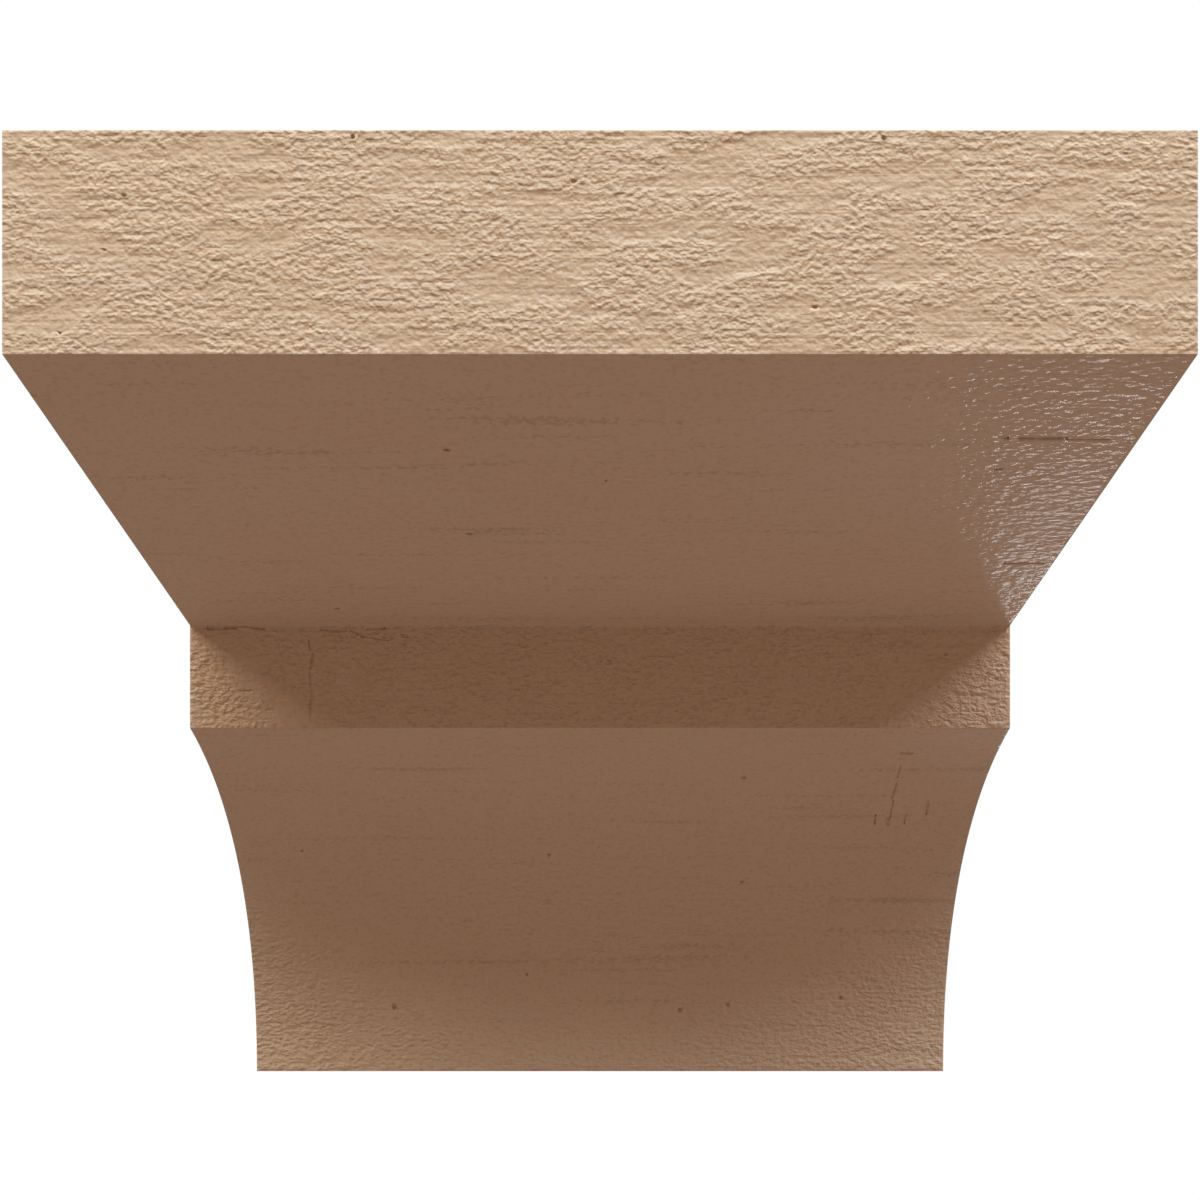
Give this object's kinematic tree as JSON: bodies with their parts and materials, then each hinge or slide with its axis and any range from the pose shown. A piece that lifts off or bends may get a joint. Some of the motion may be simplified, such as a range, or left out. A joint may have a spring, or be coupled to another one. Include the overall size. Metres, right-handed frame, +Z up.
{
  "type": "corbel",
  "caption": "Plain moulded wall corbel: thick nose, soffit sloping to the wall, upright step and a long hollow cove; flat back for the wall, flat top to carry a shelf or beam end.",
  "frame": {"origin": "middle of the flat back face, where the block is fixed to the wall", "axes": "+Z up, -Y out from the wall towards the viewer, X along the wall; the wall is the plane y = 0"},
  "size_m": [0.2032, 0.2032, 0.2032],
  "materials": {
    "primed_urethane": "rigid cast urethane with a sandblasted timber grain, matt tan primer"
  },
  "bodies": {
    "root": {"corbel": "primed_urethane"}
  },
  "joints": []
}
